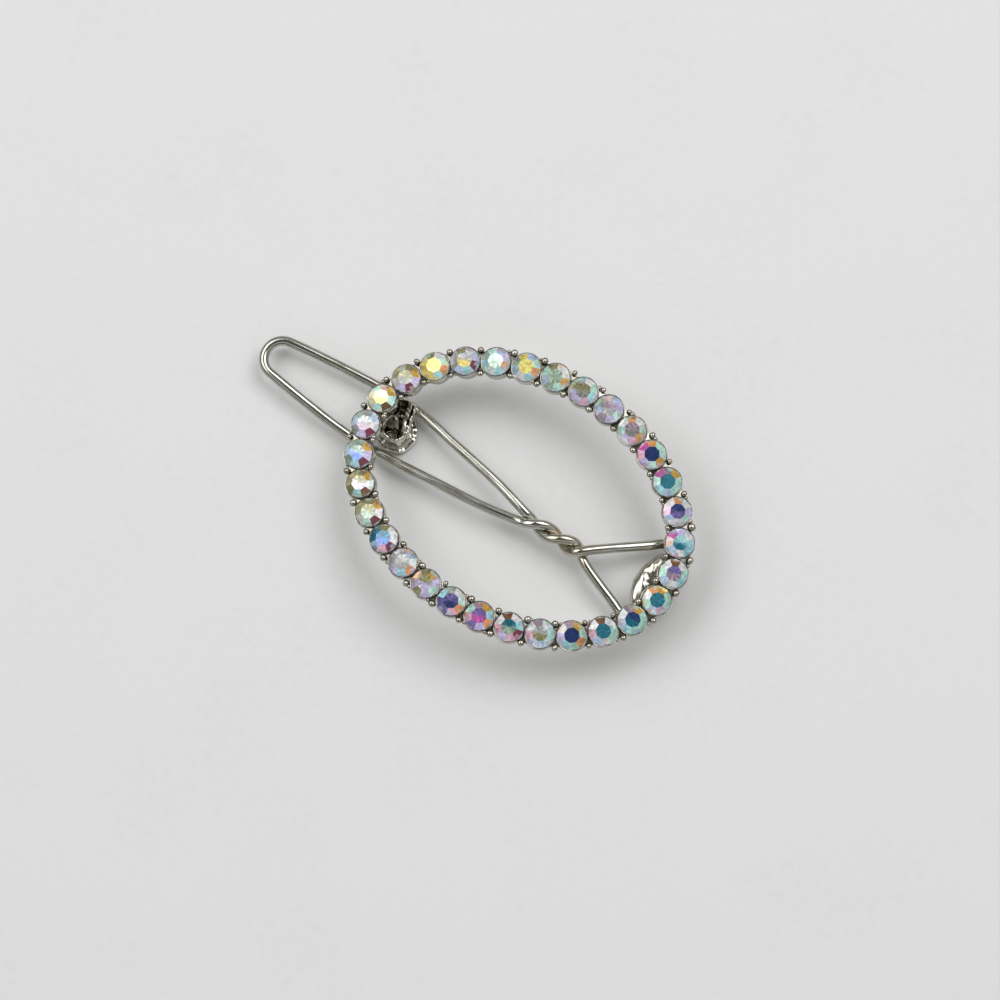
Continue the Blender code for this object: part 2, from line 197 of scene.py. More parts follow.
CUP_R = 1.73 * MM
WEB = 1.22 * MM
VALLEY_ROUND = 0.08 * MM
STEPS_PER_CUP = 24
steps = STONES * STEPS_PER_CUP
share = np.arange(steps) / steps
spot, outward = round_the_oval(share)
beside = np.abs((share * STONES) % 1 - 0.5) * STONE_PITCH
reach = np.sqrt(np.maximum(CUP_R**2 - beside**2, 0))
# A soft maximum of cup and web keeps the valley between two cups round, not a sharp fold.
reach = WEB + np.logaddexp(0, (reach - WEB) / VALLEY_ROUND) * VALLEY_ROUND
# The section runs up the outer side, over the top, down the inner side and back under. A row of
# its half is (inset from the cup's wall, height), and the side of the centre line goes before it.
half_section = [
    (0.42, -2.1), (0.30, -2.06), (0.24, -1.95), (0.10, -1.2), (0.0, -0.45), (0.06, -0.33), (0.2, -0.28),
]
section = np.array([(1, *row) for row in half_section] + [(-1, *row) for row in half_section[::-1]])
across = section[:, 0] * (reach[:, None] - section[:, 1] * MM)
flat = spot[:, None, :] + across[..., None] * outward[:, None, :]
band_points = arched(flat[..., 0], flat[..., 1], section[:, 2] * MM)
band = cast("cast_band", band_points, grid_faces(steps, len(section), wrap_rows=True), casting)
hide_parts("frame")


# ---- Cups ------------------------------------------------------------------------------------
# Each stone sits in a round cup, part of the same casting, whose thin lip stands just over the
# stone's girdle. The lips are filed by hand after casting, so they are a little uneven.


def seats(share, offset=0.0):
    """Where things are set: an origin and three axes at each share, leaning with the arch."""
    spot, outward = round_the_oval(share)
    place = spot + np.asarray(offset)[..., None] * outward
    lean = place[..., 0] / ARCH_RADIUS
    zero = np.zeros_like(lean)
    axes = np.stack([
        np.stack([np.cos(lean), zero, -np.sin(lean)], -1),
        np.stack([zero, zero + 1, zero], -1),
        np.stack([np.sin(lean), zero, np.cos(lean)], -1),
    ], -2)
    return arched(place[..., 0], place[..., 1], zero), axes


def turned(profile, sides):
    """A profile of (radius, height) turned about the axis: (r cos a, r sin a, h) for each angle a."""
    a = np.arange(sides) * 2 * np.pi / sides
    r = profile[:, None, 0] * np.ones(sides)
    h = np.broadcast_to(profile[:, None, 1], r.shape)
    return np.stack([r * np.cos(a), r * np.sin(a), h], -1)


def set_in_place(shape, origins, axes):
    """Copies of a shape, (rows, columns, xyz), one at each origin and set of axes."""
    return origins[:, None, None, :] + np.einsum("...rcx,nxy->nrcy", shape, axes)


stone_share = (np.arange(STONES) + 0.5) / STONES
stone_at, stone_axes = seats(stone_share)
CUP_SIDES = 48
FILED = 0.012 * MM
# Up the inside, over the lip and down the outside: (radius, height, how much the file moved it).
lip = np.array([
    (1.50, -1.3, 0), (1.60, -0.2, 0), (1.61, 0.02, 1), (1.625, 0.06, 1), (1.655, 0.07, 1),
    (1.685, 0.04, 1), (1.705, -0.03, 0.5), (1.73, -0.4, 0), (1.72, -0.9, 0), (1.66, -1.3, 0),
])
cup = turned(lip[:, :2] * MM, CUP_SIDES)
cups_points = set_in_place(cup, stone_at, stone_axes)
# Filing leaves each lip up to 0.03 mm high or low: three slow waves round it, shifted from cup
# to cup.
around = np.arange(CUP_SIDES) * 2 * np.pi / CUP_SIDES
shifted = 2.4 * np.arange(STONES)[:, None]
uneven = sum(np.sin(n * (around[None, :] + shifted)) for n in (2, 3, 5)) * FILED
moved = uneven[:, None, :] * lip[None, :, None, 2]
cups_points = cups_points + moved[..., None] * stone_axes[:, None, None, 2, :]
cup_faces = grid_faces(len(lip), CUP_SIDES, wrap_rows=True, copies=STONES)
cups = cast("stone_cups", cups_points, cup_faces, casting)


# ---- Grip beads ------------------------------------------------------------------------------
# Beads raised on the casting between neighbouring cups, one on the outer edge and one on the inner
# one, burnished over the stones' edges. Beside some of them a smaller bead was raised as well.

LARGE_BEAD = (0.32 * MM, 0.42 * MM)
SMALL_BEAD = (0.20 * MM, 0.27 * MM)
BEAD_OUT = (1.24, 1.38)
BEAD_HEIGHT = (-0.22, -0.06)
BEAD_ROWS, BEAD_SIDES = 9, 14
FLATTENED = 0.92


def bead_row(name, chance, sizes, shift, seed):
    """Beads at some of the gaps, as flattened balls whose place, size and lumps are drawn for each.

    The shift along the oval, the way out from its centre line and the height are in millimetres.
    """
    rng = np.random.default_rng(seed)
    gap = np.repeat(np.arange(STONES) / STONES, 2)
    edge = np.tile([1.0, -1.0], STONES)
    side = np.sign(rng.random(len(gap)) - 0.5)
    along = side * rng.uniform(*shift, len(gap)) * MM
    offset = edge * rng.uniform(*BEAD_OUT, len(gap)) * MM
    size = rng.uniform(*sizes, len(gap))
    height = rng.uniform(*BEAD_HEIGHT, len(gap)) * MM
    kept = rng.random(len(gap)) < chance
    origins, axes = seats(gap[kept] + along[kept] / STONE_PITCH / STONES, offset[kept])
    origins = origins + height[kept][:, None] * axes[:, 2, :]
    polar = np.linspace(0, np.pi, BEAD_ROWS)
    ball = turned(np.stack([np.sin(polar), np.cos(polar) * FLATTENED], -1), BEAD_SIDES)
    lump = rng.uniform(0.8, 1.15, (len(size), 1, 1, 3))[kept]
    leaned = np.einsum("nrcx,nxy->nrcy", ball * lump, axes)
    points = origins[:, None, None, :] + size[kept][:, None, None, None] * leaned
    faces = grid_faces(BEAD_ROWS, BEAD_SIDES, copies=int(kept.sum()))
    beads = cast(name, points, faces, shade_painted)


# The beads take a darker copy of the plating, painted shade for their dark reflections.
shade_painted = plated_casting("burnished beads", (0.08, 0.065, 0.045), (0.54, 0.51, 0.45))
# The large beads are at every gap. A small one is beside three in five.
bead_row("grip_beads", 1.0, LARGE_BEAD, (0.0, 0.12), 7)
bead_row("small_grip_beads", 0.6, SMALL_BEAD, (0.46, 0.56), 8)


# ---- Rhinestones -----------------------------------------------------------------------------
# Thirty round chatons of clear glass, foil-backed and coated so that they throw pearly colours.
# Each has a flat table, eight crown facets and a thin girdle, and is glued into its cup.

R_STONE = 1.6 * MM
TABLE_R = 0.86 * MM
TABLE_Z = 0.62 * MM
EDGE_Z = 0.16 * MM
GIRDLE_TOP, GIRDLE_FOOT = 0.07 * MM, -0.1 * MM
CULET_Z = -1.3 * MM
FACETS = 8
STONE_SIDES = 2 * FACETS
MOST_LEAN = 0.05
TURN_STEP = math.radians(137.5)
FIRST_SEED = 100
# The bench's right is this far round from +X, and each table's painted reflection splits along a line near
# it.
BENCH = math.radians(32)
REFLECTION_SPLIT = BENCH - math.radians(15)


def chaton(turn):
    """Points of one stone about its own axis, turned by an angle.

    Rings of 16 points at the table's centre, half-way out, its edge, half-way down the crown, the
    crown's edge, the top and bottom of the girdle, and the culet. Every other point lies on the
    straight edge between its neighbours, so that each facet is flat.
    """
    a = turn + np.arange(STONE_SIDES) * np.pi / FACETS
    flat_side = np.where(np.arange(STONE_SIDES) % 2, math.cos(math.pi / FACETS), 1.0)
    rings = [
        (0.0, TABLE_Z, False), (0.45 * TABLE_R, TABLE_Z, False), (TABLE_R, TABLE_Z, True),
        ((TABLE_R + R_STONE) / 2, (TABLE_Z + EDGE_Z) / 2, True), (R_STONE, EDGE_Z, True),
        (R_STONE, GIRDLE_TOP, False), (R_STONE, GIRDLE_FOOT, False), (0.0, CULET_Z, False),
    ]
    points = []
    for r, h, straight in rings:
        out = r * (flat_side if straight else 1)
        points.append(np.stack([out * np.cos(a), out * np.sin(a), np.full(STONE_SIDES, h)], -1))
    return np.stack(points)


# The colours painted on the facets, named as a cutter would call them: the coating's own tints,
# with painted highlights and painted reflections among them.
TINTS_AND_REFLECTIONS = {
    "white": (1.00, 1.00, 1.00), "pearl": (0.80, 0.79, 0.74), "cream": (1.00, 0.94, 0.62),
    "yellow": (1.00, 0.78, 0.22), "gold": (0.78, 0.46, 0.08), "orange": (0.90, 0.40, 0.16),
    "peach": (0.98, 0.66, 0.54), "pink": (0.93, 0.54, 0.70), "magenta": (0.66, 0.13, 0.48),
    "maroon": (0.24, 0.03, 0.07), "brown": (0.24, 0.11, 0.05), "olive": (0.34, 0.33, 0.15),
    "sage": (0.38, 0.50, 0.38), "mint": (0.62, 1.00, 0.82), "aqua": (0.46, 0.88, 0.95),
    "sky": (0.56, 0.74, 1.00), "blue": (0.10, 0.20, 0.62), "navy": (0.018, 0.045, 0.17),
    "teal": (0.012, 0.17, 0.24), "violet": (0.20, 0.16, 0.42), "lavender": (0.72, 0.66, 1.00),
    "mauve": (0.46, 0.34, 0.42), "smoke": (0.30, 0.31, 0.28), "grey": (0.50, 0.52, 0.52),
}
# What each table shows, from the first stone at the hinge round by the +Y side: the coating's tint
# and a painted reflection. Where a table's painted reflection splits in two, a second tint takes the side
# nearer to the bench's edge.
TABLES = """
violet/mauve aqua/teal navy/violet teal navy mauve/smoke mauve/grey olive/smoke sage yellow
mint/sage grey/yellow yellow olive/smoke cream/yellow grey/mauve sage/blue olive/lavender
olive/sage teal/blue grey/smoke olive/lavender violet/navy violet/magenta teal/sage grey/olive
navy teal navy/teal teal
""".split()
# What the crown shows, from the side that faces the bench's right, anticlockwise: the coating's tints with
# painted reflections, and white for painted highlights. The stones near the loop lean one way and show the
# first rows, and those near the hinge the others.
LOOP_END = (
    "white white olive aqua sky lavender lavender maroon",
    "white sky peach sage lavender sky pink brown",
    "lavender white grey mint aqua lavender aqua gold",
    "white gold olive peach sky pearl lavender orange",
)
HINGE_END = (
    "mint white mauve white pink sky sky aqua",
    "aqua mint orange white lavender aqua white mint",
    "lavender white lavender magenta mint lavender pink mint",
    "mint gold brown white peach sky mint aqua",
)


def crown_tints_and_reflections(k, azimuths, rng):
    """The painted colour of each facet, tint and reflection, from the way it faces and from how far along
    the arch the stone is.

    The chance of a tint from the loop's rows is 1 / (1 + exp(x / 5 mm)), x measured from the
    oval's middle towards the hinge.
    """
    along = stone_at[k, 0] - MIDDLE_X
    chance_loop = 1 / (1 + math.exp(along / (5 * MM)))
    found = []
    for azimuth in azimuths:
        step = int(round((azimuth - BENCH) / (2 * math.pi / FACETS))) % FACETS
        rows = LOOP_END if rng.random() < chance_loop else HINGE_END
        tint = rows[int(rng.random() * len(rows))].split()[step]
        # Towards the loop, the facets on the bench's left often show the table's tint.
        if step in (2, 3, 4, 5) and rng.random() < 0.55 * chance_loop:
            tint = TABLES[k].split("/")[0]
        found.append(TINTS_AND_REFLECTIONS[tint])
    return np.array(found)


def facet_colours(k, turn, rows, columns, rng):
    """A colour for each cell between two rings: two of table, two of crown, edge, girdle, pavilion.

    The share of the table's second tint is 0.5 - 0.7 sin(angle from the split), held to 0 to 1.
    """
    names = TABLES[k].split("/")
    facing = turn + (np.arange(columns) + 0.5) * np.pi / FACETS
    lower = np.clip(0.5 - 0.7 * np.sin(facing - REFLECTION_SPLIT), 0, 1)[:, None]
    table = (1 - lower) * TINTS_AND_REFLECTIONS[names[0]] + lower * np.array(TINTS_AND_REFLECTIONS[names[-1]])
    crown = crown_tints_and_reflections(k, turn + (np.arange(FACETS) + 0.5) * 2 * np.pi / FACETS, rng)
    halves = np.repeat(crown, 2, axis=0)
    cells = np.empty((rows - 1, columns, 3))
    # Through the table the pavilion shows as a painted reflection, a star of light and dark wedges. It is
    # fainter in a table full of light.
    star = np.where(np.arange(columns) % 2, 1.22, 0.84) * rng.uniform(0.8, 1.2, columns)
    if names[0] in ("yellow", "cream"):
        star = 0.5 * star + 0.6
    cells[0] = table * star[:, None]
    cells[1] = table * np.roll(star, 1)[:, None] * rng.uniform(0.85, 1.2, (columns, 1))
    cells[2] = halves * rng.uniform(0.9, 1.1, (columns, 1))
    cells[3] = halves * rng.uniform(0.7, 1.15, (columns, 1))
    # Here and there a corner of a facet takes a neighbour's tint, as a painted reflection.
    stray = rng.random(columns) < 0.3
    cells[3][stray] = 0.5 * cells[3][stray] + 0.5 * np.roll(halves, 5, axis=0)[stray]
    # The edge, the girdle and the pavilion show dull tints from facets further round, painted reflections.
    cells[4] = 0.5 * np.roll(halves, 3, axis=0) + 0.2
    cells[5:] = 0.35 * np.roll(halves, 5, axis=0) + 0.1
    return np.clip(cells, 0, 1)


def coated_glass():
    """Foil-backed glass: the facet colours from the mesh with their painted reflections and highlights,
    painted flecks of the pavilion's reflection, a glassy coat.
    """
    made, tree, shader = shader_of("coated glass")
    tint = node(tree, "ShaderNodeAttribute", attribute_name="facet_tint_and_reflection").outputs["Color"]
    place = node(tree, "ShaderNodeTexCoord").outputs["Object"]
    # Painted reflection: flecks of the pavilion's small facets, lighter and darker.
    fleck = node(tree, "ShaderNodeTexVoronoi", {"Vector": place, "Scale": 4200.0})
    light = ramp(tree, fleck.outputs["Color"], ((0.25, (0.74, 0.76, 0.74)), (0.75, (1.20, 1.17, 1.22))))
    tree.links.new(stained(tree, tint, light, 0.8), shader.inputs["Base Color"])
    shader.inputs["Metallic"].default_value = 0.3
    shader.inputs["Roughness"].default_value = 0.2
    shader.inputs["Coat Weight"].default_value = 1.0
    shader.inputs["Coat Roughness"].default_value = 0.02
    shader.inputs["Coat IOR"].default_value = 1.6
    return made


glass = coated_glass()
for k in range(STONES):
    rng = np.random.default_rng(FIRST_SEED + k)
    turn = k * TURN_STEP
    # Set by hand, a stone leans up to a few degrees in its cup.
    lean_x, lean_y = rng.uniform(-MOST_LEAN, MOST_LEAN, 2)
    shape = chaton(turn)
    rows, columns = shape.shape[:2]
    shape[..., 2] += shape[..., 0] * lean_x + shape[..., 1] * lean_y
    points = stone_at[k] + shape @ stone_axes[k]
    cells = facet_colours(k, turn, rows, columns, rng).reshape(-1, 3)
    mesh = bpy.data.meshes.new(f"stone_{k + 1:02d}")
    mesh.from_pydata(points.reshape(-1, 3).tolist(), [], grid_faces(rows, columns).tolist())
    layer = mesh.attributes.new("facet_tint_and_reflection", "FLOAT_COLOR", "CORNER")
    colours = np.concatenate([cells, np.ones((len(cells), 1))], 1)
    layer.data.foreach_set("color", np.repeat(colours, 4, axis=0).astype(np.float32).ravel())
    close_up(mesh)
    mesh.materials.append(glass)
    stone = bpy.data.objects.new(f"stone_{k + 1:02d}", mesh)
    bpy.context.scene.collection.objects.link(stone)
    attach(stone, "top")
    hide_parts(f"rhinestone_{k + 1:02d}")


# ---- Hinge lug -------------------------------------------------------------------------------
# A cast tongue soldered under the end of the oval, with a round nose and a worn top edge. The
# wire's two ends run into it from either side, where they turn.

HINGE_X, HINGE_Z = hinge[0], hinge[2]
LUG_NOSE = HINGE_X - MIDDLE_X - 1.6 * MM
LUG_LENGTH = 3.7 * MM
LUG_HALF_WIDTH = 3.3 * MM
LUG_CORNER = 1.3 * MM
NOSE_DEPTH = 2.6 * MM
NOSE_HALF_WIDTH = 3.9 * MM
LUG_ROUND = 1.1 * MM
LUG_SHOULDER = 1.5 * MM
SOLDERED_AT = -2.2 * MM


def tongue_outline(grow, count=144):
    """The lug's outline drawn in by grow, as even points.

    The nose is part of an ellipse, x = depth times (1 - sqrt(1 - (y / half width) squared)), and
    the tail has two quarter circles. The points are read off along the outline's length.
    """
    quarter = np.linspace(0, np.pi / 2, 13)
    corner = LUG_CORNER - grow
    tail_x, tail_y = LUG_NOSE + LUG_LENGTH - LUG_CORNER, LUG_HALF_WIDTH - LUG_CORNER
    nose_y = (LUG_HALF_WIDTH - grow) * np.cos(np.linspace(0, np.pi, 41))
    nose_x = LUG_NOSE + grow + NOSE_DEPTH * (1 - np.sqrt(1 - (nose_y / NOSE_HALF_WIDTH) ** 2))
    x = np.concatenate([tail_x + corner * np.cos(quarter), nose_x, tail_x + corner * np.sin(quarter)])
    y = np.concatenate([tail_y + corner * np.sin(quarter), nose_y, -tail_y - corner * np.cos(quarter)])
    x, y = np.append(x, x[0]), np.append(y, y[0])
    run = np.concatenate([[0], np.cumsum(np.hypot(np.diff(x), np.diff(y)))])
    at = np.arange(count) / count * run[-1]
    return np.interp(at, run, x), np.interp(at, run, y)


def worn_tongue():
    """Outlines stacked from the foot to the solder line, drawn in round the top edge.

    While a goes from 0 to a right angle, the outline is drawn in by the shoulder times (1 - cos a)
    and lies the rounding times (1 - sin a) under the solder line. Both ends close on a point.
    """
    rows = []
    for grow, z in ((0.15, 0.0), (0.04, 0.05), (0.0, 0.15), (0.0, 0.9)):
        x, y = tongue_outline(grow * MM)
        rows.append(np.stack([MIDDLE_X + x, y, np.full(len(x), z * MM)], -1))
    for a in np.linspace(0, np.pi / 2, 14):
        x, y = tongue_outline(LUG_SHOULDER * (1 - np.cos(a)))
        rows.append(arched(x, y, SOLDERED_AT) - np.array([0, 0, LUG_ROUND * (1 - np.sin(a))]))
    foot, top = rows[0], rows[-1]
    foot_middle, top_middle = foot.mean(axis=0), top.mean(axis=0)
    underside = [foot_middle + part * (foot - foot_middle) for part in (0, 0.5)]
    solder_side = [top_middle + part * (top - top_middle) for part in (0.5, 0)]
    return np.stack([*underside, *rows, *solder_side])


def cast_unevenness(points, depth):
    """Pushes points in and out from the piece's middle, as a soft mould leaves them.

    The push is the depth times a sum of three sine waves that run slantwise through the piece.
    """
    x, y, z = (points[..., i] / MM for i in range(3))
    wave = np.sin(2.1 * x + 1.3 * y) + 0.7 * np.sin(3.7 * y - 1.1 * z + 1)
    wave = wave + 0.5 * np.sin(5.3 * x + 4.1 * z)
    middle = points.reshape(-1, 3).mean(axis=0)
    away = points - middle
    away /= np.maximum(np.linalg.norm(away, axis=-1, keepdims=True), 1e-9)
    return points + depth * wave[..., None] * away


lug_points = worn_tongue()
# The foot and the upright wall over it aren't moved, so that the lug stands flat.
FOOT_ROWS = 6
lug_points[FOOT_ROWS:] = cast_unevenness(lug_points[FOOT_ROWS:], 0.03 * MM)
# The solder was filed by hand, so the shoulder has shallow flats across it.
FILE_DEPTH = 0.035 * MM
across_lug = lug_points[..., 0] * 0.8 + lug_points[..., 1] * 0.6
file_marks = np.sin(across_lug / MM * 5.0) + 0.6 * np.sin(lug_points[..., 1] / MM * 7.0 + 1)
on_shoulder = np.clip((lug_points[..., 2] / MM - 2.2) / 0.8, 0, 1)
lug_points[..., 2] += FILE_DEPTH * file_marks * on_shoulder
lug_faces = grid_faces(*lug_points.shape[:2])
lug = cast("hinge_block", lug_points, lug_faces, casting, crease=60)
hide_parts("hinge_lug")


# ---- Catch stud ------------------------------------------------------------------------------
# A short post with a wide flange at its foot, soldered under the other end of the oval. The legs
# of the wire snap over the flange and hug the post. Its top is left open and rough from the mould.

low, high = (np.array(v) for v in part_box("catch_stud"))
stud_mid = (low + high) / 2
# Out under the foot, round the flange and its raised rim, up the post and down inside it.
stud_profile = np.array([
    (0.0, 0.0), (2.2, 0.0), (2.34, 0.06), (2.42, 0.2), (2.42, 0.42), (2.40, 0.62), (2.3, 0.73),
    (2.05, 0.64), (1.85, 0.72), (1.74, 1.0), (1.68, 1.8), (1.66, 2.5), (1.60, 2.8), (1.50, 2.92),
    (1.36, 2.94), (1.24, 2.88), (1.14, 2.7), (1.06, 2.1), (0.98, 1.5), (0.0, 1.35),
]) * MM
# The flange is hammered, so its rim goes in and out, and up and down, as it goes round.
STUD_SIDES = 96
around = np.arange(STUD_SIDES) * 2 * np.pi / STUD_SIDES
dents = 0.035 * np.sin(5 * around + 0.6) + 0.025 * np.sin(8 * around + 2.0)
dents = dents + 0.02 * np.sin(13 * around)
depth_of_dent = np.interp(stud_profile[:, 1] / MM, [0, 0.3, 0.9, 3], [0, 0.5, 1, 1.2])
stud_points = turned(stud_profile, STUD_SIDES)
stud_points[..., :2] *= (1 + dents[None, :] * depth_of_dent[:, None] * 0.6)[..., None]
above_foot = stud_profile[:, 1] > 0.3 * MM
stud_points[..., 2] += dents[None, :] * 2.2 * MM * above_foot[:, None]
# The foot and the point down inside the post aren't moved.
stud_points[3:-1] = cast_unevenness(stud_points[3:-1], 0.06 * MM)
stud_points = stud_points + np.array([stud_mid[0], stud_mid[1], 0])
# The catch's post and bracket take a lighter copy of the plating, painted light for their bright faces, with
# painted shade in their hollows too.
light_painted = plated_casting("rubbed catch", (0.34, 0.33, 0.29), (0.92, 0.91, 0.86))
stud = cast("catch_post", stud_points, grid_faces(*stud_points.shape[:2]), light_painted, crease=60)
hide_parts("catch_stud")

# The bracket: a strip folded lengthwise into two channels that spread apart, from the open post up
# to the oval. Each row is a fold's place at the post, its place at the oval and its height, from
# the outer rim over the two ridges and the far edge, and back under.
fold = np.array([
    (-7.75, -8.85, 1.7), (-7.72, -8.80, 2.9), (-7.82, -8.92, 3.12), (-7.95, -9.04, 3.08),
    (-8.05, -9.16, 2.85), (-8.12, -9.26, 3.2), (-8.16, -9.30, 3.82), (-8.30, -9.50, 3.77),
    (-8.50, -9.80, 3.66), (-8.58, -10.0, 3.4), (-8.64, -10.2, 2.8), (-8.70, -10.4, 2.6),
    (-8.78, -10.6, 2.8), (-8.84, -10.75, 3.68), (-9.00, -11.0, 3.62), (-9.25, -11.35, 3.5),
    (-9.38, -11.5, 3.1), (-9.6, -11.8, 2.3), (-10.3, -12.5, 2.1), (-10.9, -12.8, 2.3),
    (-11.1, -12.95, 2.9), (-11.22, -13.05, 2.85), (-11.25, -13.1, 1.7), (-10.0, -12.0, 1.6),
    (-8.6, -9.8, 1.6),
]) * MM
STRIP_FOOT = 1.6 * MM
FOLD_START, FOLD_RUN = -0.7 * MM, 4.2 * MM
STRIP_STEPS = 44
END_ROUND = 0.35 * MM
RIPPLE = 0.06 * MM
reach = np.linspace(-0.35, 3.55, STRIP_STEPS) * MM
fade = np.clip(np.minimum(reach - reach[0], reach[-1] - reach) / END_ROUND, 0, 1) ** 0.5
spread = (reach - FOLD_START) / FOLD_RUN
folded_x = fold[:, 0] + (fold[:, 1] - fold[:, 0]) * spread[:, None]
folded_x += RIPPLE * np.sin(reach / MM * 2.9 + 1)[:, None]
tall = (fold[:, 2] - STRIP_FOOT) * (0.35 + 0.65 * fade[:, None])
rise = np.interp(reach / MM, [-0.4, 0.6, 2.0, 3.6], [-0.15, -0.1, 0.0, 0.05]) * MM
ripple = RIPPLE * np.sin(reach[:, None] / MM * 5.3 + fold[:, 0] / MM * 4)
ripple = ripple * (fold[:, 2] > 2.4 * MM)
strip_y = np.broadcast_to(reach[:, None], folded_x.shape)
bracket_points = np.stack([folded_x, strip_y, STRIP_FOOT + tall + rise[:, None] + ripple], -1)
ends = bracket_points[[0, -1]].mean(axis=1, keepdims=True) + 0 * bracket_points[:1]
bracket_points = np.concatenate([ends[:1], bracket_points, ends[1:]])
bracket_points[1:-1] = cast_unevenness(bracket_points[1:-1], 0.03 * MM)
bracket_faces = grid_faces(*bracket_points.shape[:2])
bracket = cast("catch_bracket", bracket_points, bracket_faces, light_painted, crease=24)


# ---- Spring wire -----------------------------------------------------------------------------
# One length of hard 1.1 mm steel wire, plated bright. It starts in the hinge lug, makes a turn and
# a half of twist with its own other end, runs out to the round tip and comes back the same way.

WIRE_R = 0.55 * MM
TWIST_Y, TWIST_Z = -1.1 * MM, 2.6 * MM
TWIST_END = HINGE_X - 9.45 * MM
TWIST_START = TWIST_END - 6.3 * MM
CATCH_Z, TIP_Z = 1.55 * MM, 1.9 * MM
STRAND = 0.56 * MM
OVAL_END = MIDDLE_X - HALF_LENGTH
LEG_SIDE = 3.15 * MM
BOW = 0.25 * MM
TIP_X = OVAL_END - 14.5 * MM
TIP_R, TIP_SIDE = 2.1 * MM, 0.2 * MM
ARM_SIDE = 4.15 * MM
WIRE_END_SIDE = 1.6 * MM
WIRE_SIDES = 20
WIRE_STEP = 0.2 * MM


def strand(phase):
    """One turn about the twist's line, starting at that angle from the top."""
    a = np.linspace(0, 2 * np.pi, 13)
    x = TWIST_START + (TWIST_END - TWIST_START) * a / (2 * np.pi)
    return np.stack([x, TWIST_Y + STRAND * np.sin(a + phase), TWIST_Z + STRAND * np.cos(a + phase)], -1)


def leg(side):
    """From the twist past the catch: two points of a slightly bowed run, then beside the stud."""
    start = np.array([TWIST_START, TWIST_Y + side * STRAND, TWIST_Z])
    beside = np.array([OVAL_END + 3.28 * MM, side * LEG_SIDE, CATCH_Z])
    past = np.array([OVAL_END - 2.2 * MM, side * LEG_SIDE, CATCH_Z + 0.05 * MM])
    bow = np.array([0, side * BOW, 0])
    early = start + 0.27 * (beside - start) + bow
    late = start + 0.67 * (beside - start) + bow / 2
    return np.stack([early, late, beside, past])


def tip():
    """A half circle round the loop's tip, a little to the +Y side."""
    a = np.pi * (0.5 + np.arange(9) / 8)
    x = TIP_X + TIP_R + TIP_R * np.cos(a)
    return np.stack([x, TIP_SIDE + TIP_R * np.sin(a), np.full(len(a), TIP_Z)], -1)


def arm(side, height):
    """From the twist's end across the other strand, out to the side and round into the hole."""
    wide = side * ARM_SIDE
    cross = TWIST_END + 0.75 * MM
    near = np.array([cross + 1.2 * MM, TWIST_Y + side * 0.75 * MM, TWIST_Z + height * 0.45 * MM])
    far = np.array([HINGE_X - 1.2 * MM, wide + side * 0.35 * MM, HINGE_Z + 0.1 * MM])
    return np.array([
        (cross, TWIST_Y - side * 0.25 * MM, TWIST_Z + height * STRAND),
        near,
        near + 0.8 * (far - near),
        far,
        (HINGE_X - 0.3 * MM, wide + side * 0.3 * MM, HINGE_Z),
        (HINGE_X, wide - side * 0.4 * MM, HINGE_Z),
        (HINGE_X, side * LUG_HALF_WIDTH, HINGE_Z),
        (HINGE_X, side * WIRE_END_SIDE, HINGE_Z),
    ])


def eased(knots, step):
    """Even points on a Catmull-Rom curve through the knots, with knot spacing as the parameter."""
    p = np.concatenate([2 * knots[:1] - knots[1:2], knots, 2 * knots[-1:] - knots[-2:-1]])
    t = np.concatenate([[0], np.cumsum(np.sqrt(np.linalg.norm(np.diff(p, axis=0), axis=1)))])
    s = np.linspace(t[1], t[-2], 6000)[:-1]
    i = np.clip(np.searchsorted(t, s, side="right") - 1, 1, len(p) - 3)
    t0, t1, t2, t3 = (t[i + d][:, None] for d in (-1, 0, 1, 2))
    p0, p1, p2, p3 = (p[i + d] for d in (-1, 0, 1, 2))
    s = s[:, None]
    a = p0 + (s - t0) / (t1 - t0) * (p1 - p0)
    b = p1 + (s - t1) / (t2 - t1) * (p2 - p1)
    c = p2 + (s - t2) / (t3 - t2) * (p3 - p2)
    ab = a + (s - t0) / (t2 - t0) * (b - a)
    bc = b + (s - t1) / (t3 - t1) * (c - b)
    curve = ab + (s - t1) / (t2 - t1) * (bc - ab)
    run = np.concatenate([[0], np.cumsum(np.linalg.norm(np.diff(curve, axis=0), axis=1))])
    at = np.linspace(0, run[-1], int(run[-1] / step))
    return np.stack([np.interp(at, run, curve[:, axis]) for axis in range(3)], -1), at


def round_bar(path, radius, sides):
    """A bar: at each point a circle across the path, its first axis level and the other upwards."""
    ahead = np.gradient(path, axis=0)
    ahead /= np.linalg.norm(ahead, axis=1, keepdims=True)
    level = np.cross(ahead, [0, 0, 1.0])
    level /= np.linalg.norm(level, axis=1, keepdims=True)
    upward = np.cross(level, ahead)
    a = np.arange(sides) * 2 * np.pi / sides
    circle = np.cos(a)[None, :, None] * level[:, None, :] + np.sin(a)[None, :, None] * upward[:, None, :]
    skin = path[:, None, :] + radius * circle
    ends = np.repeat(path[[0, -1], None, :], sides, axis=1)
    return np.concatenate([ends[:1], skin, ends[1:]])


